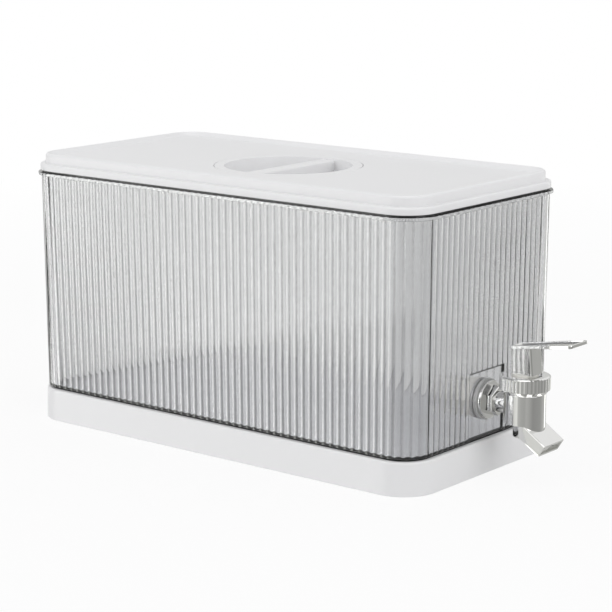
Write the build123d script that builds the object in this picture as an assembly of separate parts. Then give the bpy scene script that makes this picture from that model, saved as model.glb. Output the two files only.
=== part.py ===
from build123d import *
from math import ceil, cos, pi, radians, sin, sqrt, tan
import os

os.makedirs("parts", exist_ok=True)

# Sizes are in millimetres and angles in degrees. Z = 0 is the shelf, the tap is on the +X end.

# Body: every outline is one rounded rectangle, grown or shrunk evenly. This is it over the reeds at the rim.
body_length = 298.2
body_width = 150.5
body_corner = 19.5
body_height = 170.05
cut_over = 1.0

# Stand: a tray with a thin drafted skirt, a deck and ribs below
stand_height = 20.0
stand_foot_grow = 0.9
stand_top_grow = 0.52
stand_corner = 22.2
stand_wall = 2.4
stand_recess = 4.0
stand_deck = 2.4
stand_edge_round = 1.2
stand_rib = 1.8
stand_cross_ribs = 3

# Tank: reeded outside, plain inside
reed_pitch = 5.27
reed_depth = 0.6
tank_gap_above_stand = 1.2
tank_draw_in = 1.44
tank_foot_inset = 2.3
tank_foot_play = 0.5
tank_foot_chamfer = 1.0
tank_floor = 3.4
tank_wall_at_rim = 3.2
tank_wall_at_floor = 4.16
tank_inner_round = 5.0
rim_flange_grow = 2.0
rim_flange_drop = 13.45
rim_flange_thick = 1.9
rim_upstand_inset = 1.5
rim_upstand_rise = 1.8

# Lid: lower tier, upper tier with a raised rim round a sunk top, and a skirt that plugs the tank
lid_gap_above_flange = 1.15
lid_grow = 0.46
lid_tier_step = 3.4
lid_tier_corner = 16.2
lid_ledge_height = 6.15
lid_ledge_thick = 2.0
lid_skirt_play = 0.36
lid_plug_play = 0.6
lid_plug_wall = 1.8
lid_plug_depth = 4.4
lid_top_sink = 2.8
lid_top_thick = 2.0
lid_rim_width = 1.8
lid_rim_slope = 4.0
lid_rim_round = 1.6
lid_ledge_round = 1.0
gasket_outer_inset = 0.2
gasket_inner_play = 0.1

# Fill cap: a flange flush with the lid's top, a sunk dish and a hollow grip bar
cap_flange_radius = 45.4
cap_seam = 0.3
cap_flange_thick = 2.0
cap_cup_radius = 40.4
cap_dish_radius = 39.2
cap_dish_floor_radius = 38.3
cap_dish_depth = 10.5
cap_floor = 1.8
cap_dish_round = 2.5
cap_seal_thick = 1.2
cap_seal_inset = 0.2
cap_bar_width = 11.0
cap_bar_sink = 1.0
cap_bar_wall = 1.6
cap_bar_round = 1.2
throat_radius = 42.6
throat_wall = 1.8
throat_drop = 1.6
collar_wall = 2.0
collar_floor = 1.8
ledge_count = 3
ledge_angle = 68.0
ledge_thick = 1.6
ledge_play = 0.4
lug_angle = 40.0
lug_thick = 1.8
lug_play = 0.4
lug_gap = 0.3
ledge_top_drop = 3.4

# Tap: placed on the end wall's flat pad
pad_half_width = 17.3
pad_top = 61.0
pad_inset = 2.4
tap_height = 43.8
tap_reach = 27.36
washer_radius = 12.2
washer_thick = 2.2
tap_flange_radius = 11.2
tap_flange_thick = 2.25
shank_radius = 7.9
shank_play = 0.3
shank_bore_radius = 4.5
shank_past_nut = 2.0
collar_corner_radius = 8.9
collar_length = 5.85
collar_chamfer = 1.0
neck_radius = 6.3
inner_washer_radius = 12.0
inner_washer_thick = 2.0
land_radius = 12.6
land_depth = 0.1
nut_flange_radius = 12.0
nut_flange_thick = 2.0
nut_corner_radius = 11.6
nut_length = 9.0
thread_play = 0.05

# Valve barrel and bonnet, on an upright axis
barrel_radius = 12.15
barrel_drop = 9.3
barrel_rise = 8.2
barrel_neck_radius = 11.0
barrel_neck_height = 6.0
chamber_radius = 8.6
chamber_floor = 3.5
seat_ring_width = 1.4
seat_ring_height = 1.0
outlet_radius = 3.2
bonnet_radius = 14.7
bonnet_height = 10.3
bonnet_roof = 2.4
bonnet_bevel = 2.1
bonnet_edge = 0.7
bonnet_seal_inset = 0.2
knurl_count = 36
knurl_depth = 0.3

# Spout: a flat rectangular tube that slopes down from under the barrel
spout_width = 21.0
spout_thick = 8.0
spout_slope = 33.3
spout_reach = 20.49
spout_drop = 18.52
spout_heel = 2.94
spout_heel_radius = 10.7
spout_wall = 1.5
spout_edge_bevel = 1.0

# Valve: stem, soft cup, spring
stem_radius = 2.4
stem_play = 0.08
stem_collar_radius = 4.2
stem_collar_thick = 1.2
stem_socket = 2.6
stem_above_pin = 3.0
seat_cup_radius = 6.4
seat_cup_height = 5.0
seat_cup_edge = 1.2
spring_washer_radius = 6.4
spring_washer_thick = 0.6
spring_wire = 0.9
spring_radius = 4.6
spring_half_turns = 9
spring_samples_each_half_turn = 12
spring_end_play = 0.05

# Lever: square neck on the stem's pin, and a thumb blade with a shallow tray
wear_washer_radius = 7.6
wear_washer_thick = 1.0
wear_washer_play = 0.4
neck_back = 6.26
neck_front = 8.34
neck_top_back = 7.26
neck_top_front = 6.74
neck_half_width = 5.8
neck_edge_round = 1.0
blade_height = 13.7
blade_length = 43.5
blade_slope = 9.0
blade_back_half_width = 6.0
blade_front_half_width = 9.6
blade_thick = 2.0
blade_rim = 1.8
blade_tray_start = 5.0
blade_tray_depth = 0.8
blade_corner = 1.4
pin_radius = 1.2
pin_height = 5.0
pin_play = 0.06
pin_fit = 0.02
pin_blind_wall = 1.2
pin_end_play = 0.2
slot_play = 0.3
lever_press_angle = 25.0

# Heights and lengths worked out from the sizes above
deck_top = stand_height - stand_recess
rim_flange_low = body_height - rim_flange_drop
tank_low = stand_height + tank_gap_above_stand
cavity_floor = deck_top + tank_floor
rim_flange_top = rim_flange_low + rim_flange_thick
rim_top = rim_flange_top + rim_upstand_rise
lid_low = rim_flange_top + lid_gap_above_flange
lid_ledge = body_height - lid_ledge_height
lid_roof = lid_ledge - lid_ledge_thick
lid_top = body_height - lid_top_sink
lid_under = lid_top - lid_top_thick
plug_inset = tank_wall_at_rim + lid_plug_play
cap_flange_low = lid_top - cap_flange_thick
cap_step = cap_flange_low - cap_seal_thick
cap_floor_top = lid_top - cap_dish_depth
cap_low = cap_floor_top - cap_floor
ledge_top = cap_step - ledge_top_drop
ledge_low = ledge_top - ledge_thick
lug_top = ledge_low - lug_gap
pad_x = body_length / 2 - pad_inset
tap_x = pad_x + tap_reach
flange_back_x = pad_x + washer_thick
flange_face_x = flange_back_x + tap_flange_thick
barrel_low = tap_height - barrel_drop
barrel_top = tap_height + barrel_rise
barrel_neck_top = barrel_top + barrel_neck_height
chamber_low = barrel_low + chamber_floor
seat_top = chamber_low + seat_ring_height
bonnet_top = barrel_top + bonnet_height
bonnet_ceiling = bonnet_top - bonnet_roof
foot_z = bonnet_top + wear_washer_thick
pin_z = foot_z + pin_height
stem_low = seat_top + seat_cup_height - stem_socket
spring_low = seat_top + seat_cup_height + stem_collar_thick + spring_washer_thick


def plan(grow, corner):
    return RectangleRounded(body_length + 2 * grow, body_width + 2 * grow, corner)


def block(grow, corner, low, high):
    return Pos(0, 0, low) * extrude(plan(grow, corner), high - low)


def drafted_block(low_grow, low_corner, low, high_grow, high_corner, high):
    sections = [Pos(0, 0, low) * plan(low_grow, low_corner), Pos(0, 0, high) * plan(high_grow, high_corner)]
    return loft(sections, ruled=True)


def post(radius, low, high, x=0):
    upright = (Align.CENTER, Align.CENTER, Align.MIN)
    return Pos(x, 0, low) * Cylinder(radius, high - low, align=upright)


def rod(radius, low_x, high_x):
    upright = (Align.CENTER, Align.CENTER, Align.MIN)
    return Pos(low_x, 0, tap_height) * Rot(0, 90, 0) * Cylinder(radius, high_x - low_x, align=upright)


def six_sided_rod(corner_radius, low_x, high_x):
    flats = Rot(0, 0, 30) * RegularPolygon(corner_radius, 6)
    return Pos(low_x, 0, tap_height) * Rot(0, 90, 0) * extrude(flats, high_x - low_x)


def side_slab(points, half_width):
    # A shape drawn in the X-Z plane and given thickness evenly to both sides of Y = 0
    face = make_face(Polyline([Vector(x, 0, z) for x, z in points], close=True))
    return extrude(face, half_width, dir=(0, 1, 0), both=True)


def ring_sector(inner, outer, low, high, middle_angle, angle):
    # A piece of a ring, centred on middle_angle
    reach = 2 * outer
    half = radians(angle / 2)
    corners = [(0, 0), (reach * cos(half), -reach * sin(half)), (reach * cos(half), reach * sin(half))]
    wedge = Polyline(corners, close=True)
    sector = Rot(0, 0, middle_angle) * extrude(make_face(wedge), high - low)
    return (post(outer, 0, high - low) - post(inner, 0, high - low)) & sector


def edge_place(length, width, corner, share):
    # The place on a rounded rectangle's edge, and the way it faces, at a share of the way round from +X
    straight_x = length / 2 - corner
    straight_y = width / 2 - corner
    bend = pi * corner / 2
    quarter = straight_x + bend + straight_y
    quadrant, along = divmod(share * 4 * quarter, quarter)
    quadrant = int(quadrant) % 4
    if quadrant % 2:
        along = quarter - along
    if along <= straight_y:
        place, facing = (length / 2, along), (1, 0)
    elif along <= straight_y + bend:
        turn = (along - straight_y) / corner
        place = (straight_x + corner * cos(turn), straight_y + corner * sin(turn))
        facing = (cos(turn), sin(turn))
    else:
        place, facing = (straight_x - (along - straight_y - bend), width / 2), (0, 1)
    sign_x = -1 if quadrant in (1, 2) else 1
    sign_y = -1 if quadrant in (2, 3) else 1
    return Vector(sign_x * place[0], sign_y * place[1]), Vector(sign_x * facing[0], sign_y * facing[1])


def reeded_wire(length, width, corner, count, depth, z):
    # A closed outline of bulging arcs: valleys lie depth inside the rounded rectangle, crests on it
    lift = Vector(0, 0, z)
    arcs = []
    for reed in range(count):
        start, start_facing = edge_place(length, width, corner, reed / count)
        crest, crest_facing = edge_place(length, width, corner, (reed + 0.5) / count)
        end, end_facing = edge_place(length, width, corner, (reed + 1) / count)
        start = start - start_facing * depth + lift
        end = end - end_facing * depth + lift
        arcs.append(ThreePointArc(start, crest + lift, end))
    return Wire(arcs)


def reed_count():
    round_the_rim = 2 * (body_length + body_width) - (8 - 2 * pi) * body_corner
    return 4 * ceil(round_the_rim / reed_pitch / 4)


def reeded_body(low, high):
    # The tank's drafted wall with its reeds
    count = reed_count()
    wires = []
    for z in (low, high):
        draw_in = tank_draw_in * (rim_flange_low - z) / (rim_flange_low - tank_low)
        length = body_length - 2 * draw_in
        width = body_width - 2 * draw_in
        wires.append(reeded_wire(length, width, body_corner - draw_in, count, reed_depth, z))
    return Solid.make_loft(wires, ruled=True)


def cavity_grow(z):
    # How far the tank's inner wall stands from the body outline at a height
    rise = (z - cavity_floor) / (rim_top - cavity_floor)
    grow_at_floor = -tank_draw_in - tank_wall_at_floor
    return grow_at_floor + rise * (-tank_wall_at_rim - grow_at_floor)


def land_x():
    # The flat round land inside the end wall, which the inner washer seats on
    return body_length / 2 + cavity_grow(tap_height + land_radius) + land_depth


def foot_grow():
    return -tank_draw_in - tank_foot_inset


def make_stand():
    skirt = drafted_block(stand_foot_grow, stand_corner, 0, stand_top_grow, stand_corner, stand_height)
    skirt = fillet(skirt.edges().group_by(Axis.Z)[-1], stand_edge_round)
    inner_grow = stand_top_grow - stand_wall
    inner_corner = stand_corner - stand_wall
    hollow = block(inner_grow, inner_corner, -cut_over, deck_top - stand_deck)
    rib_height = deck_top - stand_deck
    upright = (Align.CENTER, Align.CENTER, Align.MIN)
    ribs = Box(body_length + 2 * inner_grow, stand_rib, rib_height, align=upright)
    spacing = (body_length + 2 * inner_grow) / (stand_cross_ribs + 1)
    for place in range(stand_cross_ribs):
        x = (place - (stand_cross_ribs - 1) / 2) * spacing
        ribs += Pos(x, 0, 0) * Box(stand_rib, body_width + 2 * inner_grow, rib_height, align=upright)
    recess_grow = foot_grow() + tank_foot_play
    recess = block(recess_grow, body_corner + recess_grow, deck_top, stand_height + cut_over)
    return skirt - (hollow - ribs) - recess


def make_tank():
    foot = block(foot_grow(), body_corner + foot_grow(), deck_top, tank_low + cut_over)
    foot = chamfer(foot.edges().group_by(Axis.Z)[0], tank_foot_chamfer)
    wall = reeded_body(tank_low, rim_flange_low + rim_flange_thick / 2)
    flange = block(rim_flange_grow, body_corner + rim_flange_grow, rim_flange_low, rim_flange_top)
    upstand = block(-rim_upstand_inset, body_corner - rim_upstand_inset, rim_flange_low, rim_top)
    low_grow = cavity_grow(cavity_floor)
    high_grow = cavity_grow(rim_top + cut_over)
    cavity = drafted_block(
        low_grow, body_corner + low_grow, cavity_floor, high_grow, body_corner + high_grow, rim_top + cut_over
    )
    cavity = fillet(cavity.edges().group_by(Axis.Z)[0], tank_inner_round)
    pad_space = Pos(pad_x, 0, tank_low - cut_over) * Box(
        2 * pad_inset,
        2 * pad_half_width,
        pad_top - tank_low + cut_over,
        align=(Align.MIN, Align.CENTER, Align.MIN),
    )
    land = rod(land_radius, land_x() - tank_wall_at_floor, land_x())
    hole = rod(shank_radius + shank_play, land_x() - cut_over, pad_x + cut_over)
    return wall - pad_space + foot + flange + upstand - cavity - land - hole


def make_lid():
    lower = block(lid_grow, body_corner, lid_low, lid_ledge)
    lower = fillet(lower.edges().group_by(Axis.Z)[-1], lid_ledge_round)
    tier_grow = lid_grow - lid_tier_step
    upper = block(tier_grow, lid_tier_corner, lid_roof, body_height)
    upper = fillet(upper.edges().group_by(Axis.Z)[-1], lid_rim_round)
    plug_low = lid_roof - lid_plug_depth
    plug = block(-plug_inset, body_corner - plug_inset, plug_low, lid_ledge)
    groove_grow = lid_skirt_play - rim_upstand_inset
    rim_groove = block(groove_grow, body_corner + groove_grow, lid_low, lid_roof)
    inner_grow = -plug_inset - lid_plug_wall
    inner_corner = body_corner + inner_grow
    inside = block(inner_grow, inner_corner, plug_low - cut_over, lid_under)
    sink_grow = tier_grow - lid_rim_width
    sink_corner = lid_tier_corner - lid_rim_width
    over_grow = sink_grow + lid_rim_slope * cut_over / lid_top_sink
    over_corner = sink_corner + lid_rim_slope * cut_over / lid_top_sink
    sink = drafted_block(
        sink_grow - lid_rim_slope,
        sink_corner - lid_rim_slope,
        lid_top,
        over_grow,
        over_corner,
        body_height + cut_over,
    )
    shell = lower - rim_groove + upper + plug - inside - sink
    recess_radius = cap_flange_radius + cap_seam
    collar = post(recess_radius + collar_wall, cap_step - collar_floor, lid_under)
    throat = post(throat_radius + throat_wall, ledge_low - throat_drop, lid_under)
    shell = shell + collar + throat
    shell = shell - post(recess_radius, cap_step, body_height)
    shell = shell - post(throat_radius, ledge_low - 2 * throat_drop, cap_step)
    ledge_inner = cap_cup_radius + ledge_play
    for place in range(ledge_count):
        middle = (place + 0.5) * 360 / ledge_count
        ledge = ring_sector(ledge_inner, throat_radius + throat_wall / 2, 0, ledge_thick, middle, ledge_angle)
        shell += Pos(0, 0, ledge_low) * ledge
    return shell


def make_lid_gasket():
    outer_grow = -rim_upstand_inset + lid_skirt_play - gasket_outer_inset
    inner_grow = -plug_inset + gasket_inner_play
    outer = block(outer_grow, body_corner + outer_grow, rim_top, lid_roof)
    return outer - block(inner_grow, body_corner + inner_grow, rim_top, lid_roof)


def make_fill_cap():
    profile = Polyline(
        [
            (0, 0, cap_low),
            (cap_cup_radius, 0, cap_low),
            (cap_cup_radius, 0, cap_flange_low),
            (cap_flange_radius, 0, cap_flange_low),
            (cap_flange_radius, 0, lid_top),
            (cap_dish_radius, 0, lid_top),
            (cap_dish_floor_radius, 0, cap_floor_top),
            (0, 0, cap_floor_top),
        ],
        close=True,
    )
    section = make_face(profile)
    dish_corner = section.vertices().sort_by_distance((cap_dish_floor_radius, 0, cap_floor_top))[0]
    cap = revolve(fillet(dish_corner, cap_dish_round), Axis.Z)
    bar_top = lid_top - cap_bar_sink
    upright = (Align.CENTER, Align.CENTER, Align.MIN)
    bar = Pos(0, 0, cap_low) * Box(cap_bar_width, 2 * cap_cup_radius, bar_top - cap_low, align=upright)
    long_edges = bar.edges().filter_by(Axis.Y).group_by(Axis.Z)[-1]
    bar = fillet(long_edges, cap_bar_round) & post(cap_cup_radius - cap_bar_wall / 2, cap_low, bar_top)
    hollow_length = 2 * (cap_dish_floor_radius - cap_bar_wall)
    hollow_width = cap_bar_width - 2 * cap_bar_wall
    hollow_height = bar_top - cap_bar_wall - cap_low + cut_over
    hollow = Pos(0, 0, cap_low - cut_over) * Box(hollow_width, hollow_length, hollow_height, align=upright)
    cap = cap + bar - hollow
    lug_inner = cap_cup_radius - cap_floor / 2
    lug_outer = throat_radius - lug_play
    for place in range(ledge_count):
        middle = place * 360 / ledge_count
        lug = ring_sector(lug_inner, lug_outer, 0, lug_thick, middle, lug_angle)
        cap += Pos(0, 0, lug_top - lug_thick) * lug
    return cap


def make_cap_seal():
    inner = throat_radius + cap_seal_inset
    outer = cap_flange_radius - cap_seal_inset
    return post(outer, cap_step, cap_flange_low) - post(inner, cap_step, cap_flange_low)


def spout_line(x, depth):
    # Height of the spout's sloping top face at x, lowered squarely by depth
    slope = radians(spout_slope)
    top = tap_height - spout_drop + (tap_x + spout_reach - x) * tan(slope)
    return top - depth / cos(slope)


def make_tap_body():
    slope = radians(spout_slope)
    heel_x = tap_x + spout_heel
    lip_x = tap_x + spout_reach
    low_lip_x = lip_x - spout_thick * sin(slope)
    heel_low = spout_line(heel_x, spout_thick)
    root_z = barrel_low + chamber_floor / 2
    root_x = lip_x - (root_z - spout_line(lip_x, 0)) / tan(slope)
    spout = side_slab(
        [
            (heel_x, heel_low),
            (low_lip_x, spout_line(low_lip_x, spout_thick)),
            (lip_x, spout_line(lip_x, 0)),
            (root_x, root_z),
            (heel_x, root_z),
        ],
        spout_width / 2,
    )
    side_edges = spout.edges().filter_by(Axis.Y, reverse=True)
    sloping_edges = side_edges.filter_by(lambda edge: edge.length > spout_reach / 2)
    spout = chamfer(sloping_edges, spout_edge_bevel)
    arc_x = heel_x + sqrt(spout_heel_radius**2 - (spout_width / 2) ** 2)
    heel = post(spout_heel_radius, heel_low, root_z, arc_x)
    behind_x = heel_x - spout_width
    behind_heel = side_slab(
        [(behind_x, heel_low), (heel_x, heel_low), (heel_x, root_z), (behind_x, root_z)],
        spout_width,
    )
    heel = heel & behind_heel
    front_x = tap_x + barrel_radius
    wedge = side_slab(
        [
            (heel_x, spout_line(heel_x, spout_wall / 2)),
            (front_x, spout_line(front_x, spout_wall / 2)),
            (front_x, root_z),
            (heel_x, root_z),
        ],
        barrel_radius,
    )
    wedge = wedge & post(barrel_radius, heel_low - spout_thick, root_z, tap_x)
    barrel = post(barrel_radius, barrel_low, barrel_top, tap_x)
    barrel += post(barrel_neck_radius, barrel_top, barrel_neck_top, tap_x)
    flange = rod(tap_flange_radius, flange_back_x, flange_face_x)
    collar = six_sided_rod(collar_corner_radius, flange_face_x, flange_face_x + collar_length)
    collar = chamfer(collar.edges().group_by(Axis.X)[-1], collar_chamfer)
    neck = rod(neck_radius, flange_face_x, tap_x)
    shank = rod(shank_radius, nut_outer_x() - shank_past_nut, flange_back_x)
    body = barrel + neck + collar + flange + shank + spout + heel + wedge
    seat_ring = post(outlet_radius + seat_ring_width, chamber_low, seat_top, tap_x)
    chamber = post(chamber_radius, chamber_low, barrel_neck_top + cut_over, tap_x)
    body = body - (chamber - seat_ring)
    shank_end_x = nut_outer_x() - shank_past_nut
    body = body - rod(shank_bore_radius, shank_end_x - cut_over, tap_x - outlet_radius - seat_ring_width)
    duct_floor = heel_low + spout_wall
    body = body - post(outlet_radius, duct_floor, seat_top + cut_over, tap_x)
    far_x = lip_x + spout_thick
    duct_low_heel = spout_line(heel_x, spout_thick - spout_wall)
    duct = side_slab(
        [
            (heel_x, duct_low_heel),
            (far_x, spout_line(far_x, spout_thick - spout_wall)),
            (far_x, spout_line(far_x, spout_wall)),
            (heel_x, spout_line(heel_x, spout_wall)),
        ],
        spout_width / 2 - spout_wall,
    )
    link = side_slab(
        [
            (tap_x, duct_low_heel),
            (heel_x + cut_over, duct_low_heel),
            (heel_x + cut_over, spout_line(heel_x + cut_over, spout_wall)),
            (tap_x, spout_line(heel_x + cut_over, spout_wall)),
        ],
        outlet_radius,
    )
    return body - duct - link


def nut_inner_x():
    return land_x() - inner_washer_thick


def nut_outer_x():
    return nut_inner_x() - nut_length


def make_outer_washer():
    return rod(washer_radius, pad_x, flange_back_x) - rod(shank_radius + thread_play, pad_x, flange_back_x)


def make_inner_washer():
    ring = rod(inner_washer_radius, nut_inner_x(), land_x())
    return ring - rod(shank_radius + thread_play, nut_inner_x(), land_x())


def make_lock_nut():
    nut = six_sided_rod(nut_corner_radius, nut_outer_x(), nut_inner_x())
    nut += rod(nut_flange_radius, nut_inner_x() - nut_flange_thick, nut_inner_x())
    return nut - rod(shank_radius + thread_play, nut_outer_x() - cut_over, nut_inner_x() + cut_over)


def make_bonnet():
    # Knurled cover, screwed on the barrel's neck and seated on its shoulder
    across = 2 * bonnet_radius
    knurl_low = barrel_top + bonnet_bevel
    wires = []
    for z in (knurl_low, bonnet_top - bonnet_edge):
        wires.append(reeded_wire(across, across, bonnet_radius, knurl_count, knurl_depth, z))
    side = Pos(tap_x, 0, 0) * Solid.make_loft(wires, ruled=True)
    smooth_radius = bonnet_radius - knurl_depth
    upright = (Align.CENTER, Align.CENTER, Align.MIN)
    bevel = Cone(bonnet_radius - bonnet_bevel, smooth_radius, bonnet_bevel, align=upright)
    bevel = Pos(tap_x, 0, barrel_top) * bevel
    crown = Cone(smooth_radius, smooth_radius - bonnet_edge, bonnet_edge, align=upright)
    crown = Pos(tap_x, 0, bonnet_top - bonnet_edge) * crown
    shell = side + bevel + crown
    inside = post(barrel_neck_radius + thread_play, barrel_top - cut_over, bonnet_ceiling, tap_x)
    return shell - inside - post(stem_radius + stem_play, barrel_top, bonnet_top + cut_over, tap_x)


def make_bonnet_seal():
    outer = post(barrel_neck_radius - bonnet_seal_inset, barrel_neck_top, bonnet_ceiling, tap_x)
    return outer - post(chamber_radius + bonnet_seal_inset, barrel_neck_top, bonnet_ceiling, tap_x)


def make_wear_washer():
    ring = post(wear_washer_radius, bonnet_top, foot_z, tap_x)
    return ring - post(stem_radius + wear_washer_play, bonnet_top, foot_z, tap_x)


def make_valve_stem():
    stem = post(stem_radius, stem_low, pin_z + stem_above_pin, tap_x)
    cup_top = seat_top + seat_cup_height
    stem += post(stem_collar_radius, cup_top, cup_top + stem_collar_thick, tap_x)
    stem = fillet(stem.edges().group_by(Axis.Z)[-1], stem_radius / 2)
    return stem - cross_rod(pin_radius + pin_fit, -stem_radius - cut_over, stem_radius + cut_over)


def cross_rod(radius, low_y, high_y):
    # A rod along Y through the pin's place
    upright = (Align.CENTER, Align.CENTER, Align.MIN)
    return Pos(tap_x, low_y, pin_z) * Rot(-90, 0, 0) * Cylinder(radius, high_y - low_y, align=upright)


def make_seat_cup():
    cup_top = seat_top + seat_cup_height
    cup = post(seat_cup_radius, seat_top, cup_top, tap_x)
    cup = chamfer(cup.edges().group_by(Axis.Z)[-1], seat_cup_edge)
    return cup - post(stem_radius + thread_play, stem_low, cup_top + cut_over, tap_x)


def make_spring_washer():
    low = spring_low - spring_washer_thick
    disc = post(spring_washer_radius, low, spring_low, tap_x)
    return disc - post(stem_radius + stem_play, low, spring_low, tap_x)


def spring_place(half_turns, low, high):
    # A point of the spring's centre line, and the way the wire runs there
    angle = pi * half_turns
    rise = (high - low) / spring_half_turns
    point = Vector(tap_x + spring_radius * cos(angle), spring_radius * sin(angle), low + rise * half_turns)
    run = Vector(-pi * spring_radius * sin(angle), pi * spring_radius * cos(angle), rise)
    return point, run.normalized()


def two_arcs(start, start_run, end, end_run):
    # Two arcs that meet smoothly halfway between two places of the wire
    across = end - start
    runs = start_run + end_run
    spread = 2 * (1 - start_run.dot(end_run))
    half_chord = across.dot(runs)
    reach = (-half_chord + sqrt(half_chord**2 + spread * across.dot(across))) / spread
    first_handle = start + start_run * reach
    second_handle = end - end_run * reach
    middle = (first_handle + second_handle) * 0.5
    middle_run = (second_handle - first_handle).normalized()
    return [Edge.make_tangent_arc(start, start_run, middle), Edge.make_tangent_arc(middle, middle_run, end)]


def make_valve_spring():
    low = spring_low + spring_wire / 2 + spring_end_play
    high = bonnet_ceiling - spring_wire / 2 - spring_end_play
    arcs = []
    for half_turn in range(spring_half_turns):
        start, start_run = spring_place(half_turn, low, high)
        end, end_run = spring_place(half_turn + 1, low, high)
        arcs += two_arcs(start, start_run, end, end_run)
    start, start_run = spring_place(0, low, high)
    section = Plane(origin=start, z_dir=start_run) * Circle(spring_wire / 2)
    samples = spring_samples_each_half_turn
    points = [spring_place(place / samples, low, high)[0] for place in range(samples * spring_half_turns + 1)]
    gaps = [
        (points[one] - points[other]).length - spring_wire
        for other in range(len(points))
        for one in range(other + samples, len(points))
    ]
    print("least gap of the spring to itself, mm:", round(min(gaps), 3))
    return sweep(section, path=Wire(arcs))


def make_lever():
    slope = radians(blade_slope)
    blade_back_x = tap_x - neck_top_back
    blade_low = foot_z + blade_height
    flare = (blade_front_half_width - blade_back_half_width) / blade_length
    inner_half = blade_back_half_width + blade_tray_start * flare
    plate = make_face(
        Polyline(
            [
                (0, -blade_back_half_width),
                (blade_length, -blade_front_half_width),
                (blade_length, blade_front_half_width),
                (0, blade_back_half_width),
            ],
            close=True,
        )
    )
    blade = extrude(plate, blade_thick)
    blade = fillet(blade.edges().filter_by(Axis.Z), blade_corner)
    tray_plan = make_face(
        Polyline(
            [
                (blade_tray_start, -inner_half + blade_rim),
                (blade_length - blade_rim, -blade_front_half_width + blade_rim),
                (blade_length - blade_rim, blade_front_half_width - blade_rim),
                (blade_tray_start, inner_half - blade_rim),
            ],
            close=True,
        )
    )
    tray = Pos(0, 0, blade_thick - blade_tray_depth) * extrude(tray_plan, blade_tray_depth + cut_over)
    tray = fillet(tray.edges().filter_by(Axis.Z), blade_corner / 2)
    blade = Pos(blade_back_x, 0, blade_low) * Rot(0, -blade_slope, 0) * (blade - tray)
    under = blade_low + blade_thick / 2
    neck = side_slab(
        [
            (tap_x - neck_back, foot_z),
            (tap_x + neck_front, foot_z),
            (tap_x + neck_top_front, under + (neck_top_front + neck_top_back) * tan(slope)),
            (tap_x - neck_top_back, under),
        ],
        neck_half_width,
    )
    upright_edges = neck.edges().filter_by(lambda edge: abs(edge.tangent_at(0).Z) > abs(edge.tangent_at(0).X))
    neck = fillet(upright_edges, neck_edge_round)
    swing = radians(lever_press_angle)
    side_room = stem_radius / cos(swing) + slot_play
    slot_top = pin_z + stem_above_pin + slot_play + stem_radius * sin(swing)
    slot = side_slab(
        [
            (tap_x - side_room, foot_z - cut_over),
            (tap_x + side_room + (pin_height + cut_over) * tan(swing), foot_z - cut_over),
            (tap_x + side_room, pin_z),
            (tap_x + side_room, slot_top),
            (tap_x - side_room - (slot_top - pin_z) * tan(swing), slot_top),
            (tap_x - side_room, pin_z),
        ],
        stem_radius + slot_play,
    )
    bore = cross_rod(pin_radius + pin_play, -neck_half_width + pin_blind_wall, neck_half_width + cut_over)
    return blade + neck - slot - bore


def make_lever_pin():
    blind_end = -neck_half_width + pin_blind_wall + pin_end_play
    return cross_rod(pin_radius, blind_end, neck_half_width - pin_end_play)


makers = {
    "stand": make_stand,
    "tank": make_tank,
    "lid": make_lid,
    "lid_gasket": make_lid_gasket,
    "fill_cap": make_fill_cap,
    "cap_seal": make_cap_seal,
    "tap_body": make_tap_body,
    "outer_washer": make_outer_washer,
    "inner_washer": make_inner_washer,
    "lock_nut": make_lock_nut,
    "bonnet": make_bonnet,
    "bonnet_seal": make_bonnet_seal,
    "wear_washer": make_wear_washer,
    "valve_stem": make_valve_stem,
    "seat_cup": make_seat_cup,
    "spring_washer": make_spring_washer,
    "valve_spring": make_valve_spring,
    "lever": make_lever,
    "lever_pin": make_lever_pin,
}

for name, maker in makers.items():
    piece = maker()
    export_step(piece, f"parts/{name}.step")
    print(name, len(piece.solids()), round(piece.volume))
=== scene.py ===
import math

import bmesh
import bpy
from mathutils import Matrix, Vector


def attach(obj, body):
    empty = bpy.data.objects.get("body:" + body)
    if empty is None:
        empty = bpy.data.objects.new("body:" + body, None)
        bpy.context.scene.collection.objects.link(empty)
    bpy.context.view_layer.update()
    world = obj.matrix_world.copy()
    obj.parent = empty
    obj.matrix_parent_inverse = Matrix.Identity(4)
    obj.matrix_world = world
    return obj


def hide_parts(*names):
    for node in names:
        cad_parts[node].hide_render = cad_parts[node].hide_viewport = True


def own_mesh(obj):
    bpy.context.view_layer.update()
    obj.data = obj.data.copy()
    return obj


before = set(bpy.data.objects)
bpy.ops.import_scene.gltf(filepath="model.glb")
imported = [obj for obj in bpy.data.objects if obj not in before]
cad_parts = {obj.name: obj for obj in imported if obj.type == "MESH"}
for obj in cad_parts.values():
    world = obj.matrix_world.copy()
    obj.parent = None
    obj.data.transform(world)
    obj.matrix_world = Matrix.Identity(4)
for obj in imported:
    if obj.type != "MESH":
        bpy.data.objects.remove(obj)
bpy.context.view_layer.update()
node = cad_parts


# Camera
# The photograph's own viewpoint, found from the edges of the stand, the tank and the lid.
# It stands 1.3 m away, a little above the lid, and looks at the tap's end and the near long side.
camera_place = (0.80633, -0.98515, 0.34708)
camera_pitch_down = math.radians(11.885)
camera_azimuth = math.radians(38.82)
camera_lens = 123.62
camera_sensor = 36.0
view_reach = 1000.0

camera_data = bpy.data.cameras.new("camera")
camera_data.lens = camera_lens
camera_data.sensor_width = camera_sensor
camera_data.clip_end = view_reach
camera = bpy.data.objects.new("camera", camera_data)
camera.location = camera_place
camera.rotation_euler = (math.pi / 2 - camera_pitch_down, 0, camera_azimuth)
bpy.context.scene.collection.objects.link(camera)
bpy.context.scene.camera = camera
bpy.context.scene.view_settings.view_transform = "Standard"


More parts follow.
